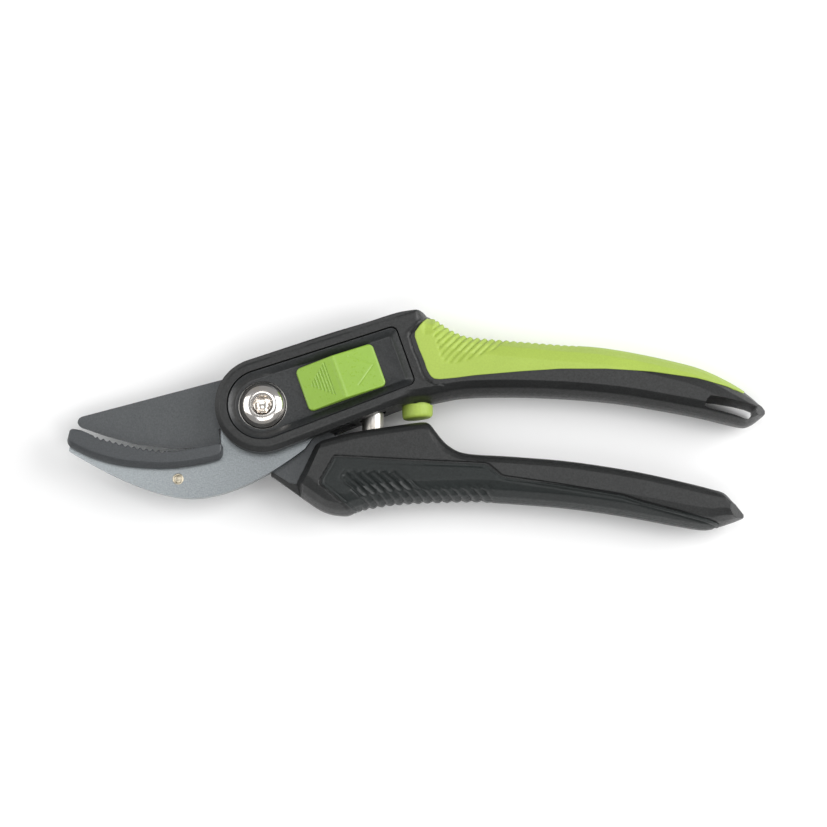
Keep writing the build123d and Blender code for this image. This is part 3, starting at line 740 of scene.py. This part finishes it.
def soft_relief(x, y):
    """Pocket with slanting ribs that carry on into finger scallops along the bottom edge."""
    to_wall = distance_to_line(x, y, POCKET[-3:] + POCKET[:4])
    deep = inside(x, y, POCKET) * ease(to_wall, 0.3, 0.9)
    phase = math.pi * (x + (y + 22) / RIB_SLANT) / RIB_PITCH
    rib = np.abs(np.cos(phase)) ** 5
    from_low, from_high = edge_distances(x, y, LOWER_TOP, LOWER_BOTTOM)
    near = (1 - ease(from_low, 1.5, 4.5)) * ease(x, 28.5, 30.5) * (1 - ease(x, 66, 69.5))
    pocket = (x < 52) * deep * (1 - near) * (1 - ease(x, 44, 52))
    seam = 0.22 * np.exp(-((distance_to_line(x, y, SOFT_BORDER) - 0.85) / 0.2) ** 2)
    line = 0.22 * np.exp(-(to_wall / 0.2) ** 2) * (1 - near)
    scallop = near * 0.6 * (np.abs(np.sin(phase + math.pi / 2)) - 1)
    return pocket * (0.62 * rib - 0.5) - seam - line + scallop


def make_soft_inlay():
    plan = patch(SOFT_LEFT, SOFT_UPPER, LOWER_BOTTOM, SOFT_BOTTOM,
                 edge_first(360, 110), towards_rail(56, 15))
    points, faces = inlay(plan, lower_height, soft_relief, 0.10, INLAY_DEPTH, False)
    return piece("soft_inlay", points, faces, black_soft, LOWER, ["lower_grip"], 45)


# ---- Lower handle ----------------------------------------------------------------------------------
def lower_detail(x, y):
    """What is taken off the lower handle's surface: the bed of the inlay and the channel round it."""
    channel = 0.5 * (1 - ease(distance_to_line(x, y, SOFT_BORDER), 0.35, 0.75))
    return np.maximum(sunk(x, y, SOFT_AREA, SOFT_BORDER), channel)


def blade_plan(gap=0.0):
    """Outline of the cutting blade's tang inside the lower handle."""
    return [(-13.3, -6), (-8, -11.5), (3.2, -19.4 - gap), (8, -22.5 - gap), (22, -24.2 - gap),
            (60 + gap, -24.6 - gap), (60 + gap, -17.6 + gap), (27, -13.0 + gap), (24, -9.6 + gap),
            (12, -2.6 + gap), (0, 0)]


def ridge_shift(y):
    ridge_y, ridge_x = np.array(RIDGE).T
    return np.interp(y, ridge_y, ridge_x) - 15.0


def ridge_pull(x):
    """How far a row follows the ridge's line: fully beside it, not at all further off."""
    return ease(x, 5, 12) * (1 - ease(x, 16, 32))


def lower_rows():
    """Ends of the rows across the lower handle: along its front ridge, then square to X."""
    starts, ends = [], []
    for x in spaced((2.35, 8, 0.4), (8, 20, 0.22), (20, 72, 0.32), (72, 137, 0.5), (137, 143.45, 0.3)):
        under = UNDER_INLAY * (ease(x, 27.6, 30) - ease(x, 132, 135.5))
        places = []
        for rail, lift in ((LOWER_BOTTOM, float(under)), (LOWER_TOP, 0.0)):
            place = x
            for _ in range(6):
                place = x + float(ridge_pull(x) * ridge_shift(curve(rail, place)))
            places.append((place, float(curve(rail, place)) + lift))
        starts.append(places[0])
        ends.append(places[1])
    return starts, ends


def follow_ridge(x0, y0, y):
    """Places along a row that starts at x0, y0 and follows the ridge's line."""
    x = x0
    for _ in range(8):
        x = x0 - float(ridge_pull(x) * ridge_shift(y0))
    return x + ridge_pull(x) * ridge_shift(y)


def make_lower_handle():
    def front(x, y):
        return lower_front(x, y) - lower_detail(x, y) * (x > 16.8)

    def back(x, y):
        return lower_height(x, y) - lower_detail(x, y) * (x > 16.8)

    starts, ends = lower_rows()
    points, faces = tube(handle_loops(starts, ends, front, back, HANDLE_COLUMNS, follow_ridge))
    obj = raw_object("lower_handle_shell", points, faces)
    cut(obj, [cutter(circle(HEAD_R + 0.9, 160), -1, 25), cutter(blade_plan(), BLADE_LOW, BLADE_HIGH),
              upright_cutter(SPRING_X, SPRING_CUP_R, SPRING_LOW, 10)])
    return finish_piece(obj, black_nylon, LOWER, ["lower_handle"], 32)


# ---- Head: cover, lock button and pivot screw ------------------------------------------------------
def nested(levels):
    """Loops of the cover, one inside the other, at the (inset, level) pairs given."""
    loops = []
    for inset, level in levels:
        corner = max(2.0 - inset, 0.35)
        outline = stadium(RECESS_R - inset, RECESS_LENGTH - inset, RECESS_END - inset, corner)
        loops.append([(x, y, level) for x, y in outline])
    return loops


def stadium(radius, length, end_half, corner, count=260):
    """Evenly spaced outline: round about the pivot, square at the far end with eased corners."""
    turn = math.pi / 2 + math.asin((radius - end_half) / length)
    high_arc, low_arc = np.linspace(math.pi - 0.001, turn, 40), np.linspace(-turn, -math.pi, 40)
    chain = [(radius * math.cos(a), radius * math.sin(a)) for a in high_arc]
    for start, side in ((math.pi / 2, 1), (0, -1)):
        middle = (length - corner, side * (end_half - corner))
        for a in np.linspace(start, start - math.pi / 2, 9):
            chain.append((middle[0] + corner * math.cos(a), middle[1] + corner * math.sin(a)))
    chain += [(radius * math.cos(a), radius * math.sin(a)) for a in low_arc]
    places = along_chain(chain, np.linspace(0, 1, count, endpoint=False))
    return [from_head(x, y) for x, y in places]


def make_head_cover():
    levels = [(0.15, 15.0), (0.15, 18.15), (0.22, 18.4), (0.42, 18.5), (0.62, 18.42), (2.3, 16.85),
              (2.5, 16.68), (2.8, 16.6)]
    points, faces = tube(nested(levels))
    obj = raw_object("head_cover_plate", points, faces)
    neck = [from_head(a, b) for a, b in ((21.7, -3.3), (33.8, -3.3), (33.8, 3.3), (21.7, 3.3))]
    cut(obj, [cutter(circle(7.25), 14, 25), cutter(circle(7.8), 14, 15.6), cutter(neck, 14, 25)])
    return finish_piece(obj, cover_nylon, UPPER, ["head_cover"], 30)


BUTTON_START, BUTTON_END, BUTTON_HALF, BUTTON_CORNER = 12.6, 36.9, 6.75, 1.6
RIDGE_AT, BUTTON_EDGE, BUTTON_TOP, BUTTON_LOW = 24.2, 17.95, 20.4, 16.75
ARROW_TIP, ARROW_BASE, ARROW_HALF, ARROW_RIBS = 15.2, 21.4, 5.2, 7


def button_top(along, across):
    """Height of the button's face: two slopes up to a ridge, a ribbed arrow, and a faint arrow outline."""
    run = np.where(along < RIDGE_AT, RIDGE_AT - BUTTON_START, BUTTON_END - RIDGE_AT)
    away = np.sqrt((along - RIDGE_AT) ** 2 + 0.25)
    z = BUTTON_TOP - (BUTTON_TOP - BUTTON_EDGE) * away / run
    z = z + 0.12 * np.exp(-((along - RIDGE_AT) / 0.55) ** 2)
    part = (along - ARROW_TIP) / (ARROW_BASE - ARROW_TIP)
    within = ease(part * ARROW_HALF - np.abs(across - 0.5), -0.15, 0.15) * ease(part, 0, 0.04)
    within = within * (1 - ease(part, 1.0, 1.05))
    z = z - within * (0.10 + 0.16 * np.cos(2 * math.pi * ARROW_RIBS * part))
    mirrored = [(29.0, -4.2), (35.2, 0.4), (29.0, 5.0)]
    return z - groove(along, across, mirrored, 0.10, 0.22)


def make_lock_button():
    loops = []
    ends = np.array([0.0, 0.06, 0.18, 0.36, 0.62, 0.9, 1.25, 1.6])
    length = BUTTON_END - BUTTON_START
    between = np.linspace(1.75, length - 1.75, 190)
    for a in BUTTON_START + np.concatenate([ends, between, length - ends[::-1]]):
        inset = min(a - BUTTON_START, BUTTON_END - a)
        shy = BUTTON_CORNER - math.sqrt(max(BUTTON_CORNER ** 2 - max(BUTTON_CORNER - inset, 0) ** 2, 0.0))
        half = BUTTON_HALF - shy
        fall = 0.5 * (1 - math.sqrt(1 - (1 - min(inset / 0.5, 1)) ** 2))
        rim = np.array([1.0, 0.985, 0.965, 0.94])
        across = half * np.concatenate([rim, np.linspace(0.92, -0.92, 110), -rim[::-1]])
        top = button_top(np.full(len(across), a), across) - fall
        top[[0, -1]] -= 0.42
        top[[1, -2]] -= 0.16
        top[[2, -3]] -= 0.04
        section = [(half, BUTTON_LOW)] + list(zip(across, top)) + [(-half, BUTTON_LOW)]
        loops.append([(*from_head(a, b), z) for b, z in section])
    points, faces = tube(loops)
    return piece("lock_button_cap", points, faces, green_button, LOCK, ["lock_button"], 40)


def make_pivot_screw():
    seat = 15.3
    angles = np.linspace(0.05, math.pi / 2, 22)
    dome = [(3.45 + 3.55 * math.sin(a), seat + 0.5 + 3.75 * math.cos(a)) for a in angles]
    shank = [(6.95, seat + 0.1), (6.8, seat), (4.0, seat), (4.0, 1.3), (3.3, 0.6), (0, 0.6)]
    profile = [(0, 19.6), (2.9, 19.6)] + dome + shank
    obj = raw_object("pivot_screw", *lathe(profile, 128))
    rim = lathe([(0, 18.7), (2.55, 18.7), (3.55, 19.75), (0, 19.75)], 96)
    point = lathe([(0, 13.2), (2.4, 14.8), (2.4, 15.2), (0, 15.2)], 48)
    cut(obj, [cutter(hexagon(SCREW_KEY), 14.8, 21), raw_object("cutter", *rim),
              raw_object("cutter", *point)])
    return finish_piece(obj, chrome_bolt, UPPER, ["pivot_bolt"], 28)


# ---- Jaws ------------------------------------------------------------------------------------------
STRIP_LOW = [(-58.3, -11.8), (-54.5, -13.8), (-50.7, -15.5), (-44.9, -17.2), (-39, -18.2), (-30, -18.7),
             (-23.2, -18.2), (-16.3, -17.0), (-11.9, -15.7)]
STRIP_HIGH = [(-57.6, -6.9), (-54, -7.5), (-50.7, -8.9), (-46.6, -10.2), (-41.8, -11.45), (-37, -12.5),
              (-31.8, -13.3), (-26.6, -13.7), (-19.7, -12.7), (-11.9, -11.1)]
TOOTH_PITCH = 1.83


def make_grip_strip():
    """Toothed strip: rows across it from its left end, each one over the chamfer and the face."""
    loops = []
    for x in spaced((0, 1.4, 0.14), (1.4, 44.9, 0.16), (44.9, 46, 0.12)):
        low_x = -58.3 + x * 46.4 / 46
        high_x = -57.6 + x * 45.7 / 46
        low, high = float(curve(STRIP_LOW, low_x)), float(curve(STRIP_HIGH, high_x))
        end = min(x, 46 - x)
        shy = 1.3 - math.sqrt(1.3 ** 2 - max(1.3 - end, 0) ** 2)
        low, high = low + shy * 1.2, high - shy * 0.9
        inset = (1 - math.sqrt(1 - (1 - min(end / 0.9, 1)) ** 2)) * 0.9
        toothed = float(ease(high_x, -50.5, -49.5) * (1 - ease(high_x, -28.8, -28.0)))
        tooth = 0.62 * toothed * abs(math.cos(math.pi * (high_x + 50.0) / TOOTH_PITCH)) ** 1.5
        top = 16.6 - inset
        band = 1.75
        points = [(low, 13.1), (low, 15.0 - inset * 0.5), (low + 0.12, 15.25 - inset * 0.5),
                  (low + band - 0.2, top - 0.12), (low + band, top - 0.03), (low + band + 0.25, top)]
        points += [(y, top) for y in np.linspace(low + band + 0.4, high - tooth - 0.4, 8)]
        points += [(high - tooth - 0.2, top - 0.05), (high - tooth, top - 0.28), (high - tooth, 13.1)]
        heights = np.array(points)
        width = (heights[:, 0] - low) / (high - low)
        loops.append([(low_x + (high_x - low_x) * w, y, z) for w, (y, z) in zip(width, heights)])
    points, faces = tube(loops)
    return piece("toothed_strip", points, faces, black_strip, UPPER, ["grip_strip"], 35)


def make_rivet():
    """Riveted pin: slightly domed head with a turned ring round it."""
    x, y = -25.2, -21.7
    profile = [(0, 13.3), (0.75, 13.28), (1.05, 13.18), (1.12, 13.08), (1.2, 13.2), (1.45, 13.26),
               (1.62, 13.2), (1.69, 13.05), (1.69, 10.0), (0, 10.0)]
    points, faces = lathe(profile, 64, (x, y))
    return piece("jaw_rivet_head", points, faces, rivet_brass, UPPER, ["jaw_rivet"], 30)


# ---- Spring and bumper between the handles ---------------------------------------------------------
SPRING_R, CORE_R, STRIP, TURNS, STRIP_WIDTH = 3.6, 1.1, 0.55, 3.4, 9.6


def make_main_spring():
    """Volute spring: one strip wound outwards, each turn standing lower than the one inside it."""
    loops = []
    rise = SPRING_HIGH - SPRING_LOW - STRIP_WIDTH
    for k in range(401):
        part = k / 400
        turn = 2 * math.pi * TURNS * part
        radius = CORE_R + (SPRING_R - CORE_R - STRIP) * part
        low = SPRING_LOW + rise * (1 - part)
        heights = [0.2] + list(np.linspace(0.9, STRIP_WIDTH - 0.9, 9)) + [STRIP_WIDTH - 0.2]
        ring = [(0.0, h) for h in heights] + [(0.1, STRIP_WIDTH - 0.03), (0.45, STRIP_WIDTH - 0.03)]
        ring += [(STRIP, h) for h in reversed(heights)] + [(0.45, 0.03), (0.1, 0.03)]
        c, s = math.cos(turn), math.sin(turn)
        loops.append([(SPRING_X + (radius + r) * c, low + h, MIDDLE - (radius + r) * s) for r, h in ring])
    points, faces = tube(loops)
    obj = raw_object("volute_spring", points, faces)
    obj.data.materials.append(spring_steel)
    shade(obj, 35)
    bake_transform(obj)
    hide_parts("main_spring")
    return obj


def make_bumper():
    """Rubber bumper: a plug with rounded rims, its lower face slightly out of square."""
    profile = [(0, -3.1), (3.2, -3.1), (3.9, -3.0), (4.3, -2.7), (4.52, -2.2), (4.6, -1.5), (4.6, 0.9),
               (3.7, 0.9), (3.7, 4.0), (0, 4.0)]
    points, faces = lathe(profile, 96)
    lean = np.clip((0.5 - points[:, 2]) / 3.6, 0, 1) * points[:, 0] * 0.10
    turned = np.stack([points[:, 0] + 46.2, points[:, 2] + lean, MIDDLE + points[:, 1]], axis=1)
    return piece("bumper", turned, faces, green_soft, UPPER, ["stop_buffer"], 40)


# ---- Build -----------------------------------------------------------------------------------------
make_upper_handle()
make_green_inlay()
make_head_cover()
make_lock_button()
make_pivot_screw()
make_grip_strip()
make_rivet()
make_main_spring()
make_bumper()
make_lower_handle()
make_soft_inlay()

# CAD nodes that keep their own mesh: material, and edge rounding in mm
CARRIED = {
    "hook_jaw": (satin_steel, 0.6),
    "cutting_blade": (coated_steel, 0.15),
    "pivot_washer": (pin_steel, 0.15),
    "pivot_nut": (pin_steel, 0.4),
    "pivot_bush": (pin_steel, 0.2),
    "tension_washer": (pin_steel, 0.1),
    "jaw_pins": (pin_steel, 0.2),
    "blade_pins": (pin_steel, 0.2),
    "detent_spring": (spring_steel, 0.05),
    "lock_slider": (black_nylon, 0.2),
    "lock_pin": (pin_steel, 0.3),
}
for name, (material, edge) in CARRIED.items():
    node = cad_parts[name]
    node.data.materials.clear()
    node.data.materials.append(material)
    shade(node, 25)
    soften = node.modifiers.new("soften", "BEVEL")
    soften.width = edge * 0.001
    soften.segments = 2
    soften.limit_method = "ANGLE"
    soften.angle_limit = math.radians(35)
    soften.harden_normals = True


# ---- Floor, light and camera -----------------------------------------------------------------------
FLOOR_HALF, FLOOR_LEVEL = 900, -0.12
CAMERA_TILT, CAMERA_LENS, CAMERA_DISTANCE = 8.5, 150, 1.034
CAMERA_TARGET = (-0.00095, 0.00262, 0.0096)
WORLD_STRENGTH = 0.30


def make_floor():
    corners = [(-1, -1), (1, -1), (1, 1), (-1, 1)]
    points = [(x * FLOOR_HALF, y * FLOOR_HALF, FLOOR_LEVEL) for x, y in corners]
    floor = raw_object("floor", points, [(0, 1, 2, 3)])
    n = Nodes("floor")
    tone = n.ramp(n.noise(6.0, 2.0), [(0.3, grey(0.90)), (0.7, grey(0.93))])
    floor.data.materials.append(n.set(colour=tone, roughness=0.9, specular=0.1))


def make_light(name, place, width, height, power):
    """An area light that looks at the frame's origin."""
    data = bpy.data.lights.new(name, "AREA")
    data.shape = "RECTANGLE"
    data.size = width
    data.size_y = height
    data.energy = power
    obj = bpy.data.objects.new(name, data)
    obj.location = place
    obj.rotation_euler = (-Vector(place)).to_track_quat("-Z", "Y").to_euler()
    bpy.context.scene.collection.objects.link(obj)


def make_camera():
    tilt = math.radians(CAMERA_TILT)
    data = bpy.data.cameras.new("camera")
    data.lens = CAMERA_LENS
    obj = bpy.data.objects.new("camera", data)
    away = Vector((0, -math.sin(tilt), math.cos(tilt)))
    obj.location = Vector(CAMERA_TARGET) + away * CAMERA_DISTANCE
    obj.rotation_euler = (tilt, 0, 0)
    bpy.context.scene.collection.objects.link(obj)
    bpy.context.scene.camera = obj


def make_world():
    world = bpy.data.worlds.new("studio")
    world.use_nodes = True
    background = world.node_tree.nodes["Background"].inputs
    background["Color"].default_value = (1, 1, 1, 1)
    background["Strength"].default_value = WORLD_STRENGTH
    bpy.context.scene.world = world
    bpy.context.scene.view_settings.view_transform = "Standard"


make_floor()
make_light("left", (-0.80, 0.10, 0.60), 0.8, 0.9, 4.2)
make_light("right", (0.80, 0.15, 0.60), 0.8, 0.9, 10.5)
make_light("top", (0.0, 0.24, 1.3), 0.5, 0.4, 1.6)
make_light("front", (0.10, -0.60, 1.05), 0.9, 0.6, 3.6)
make_world()
make_camera()
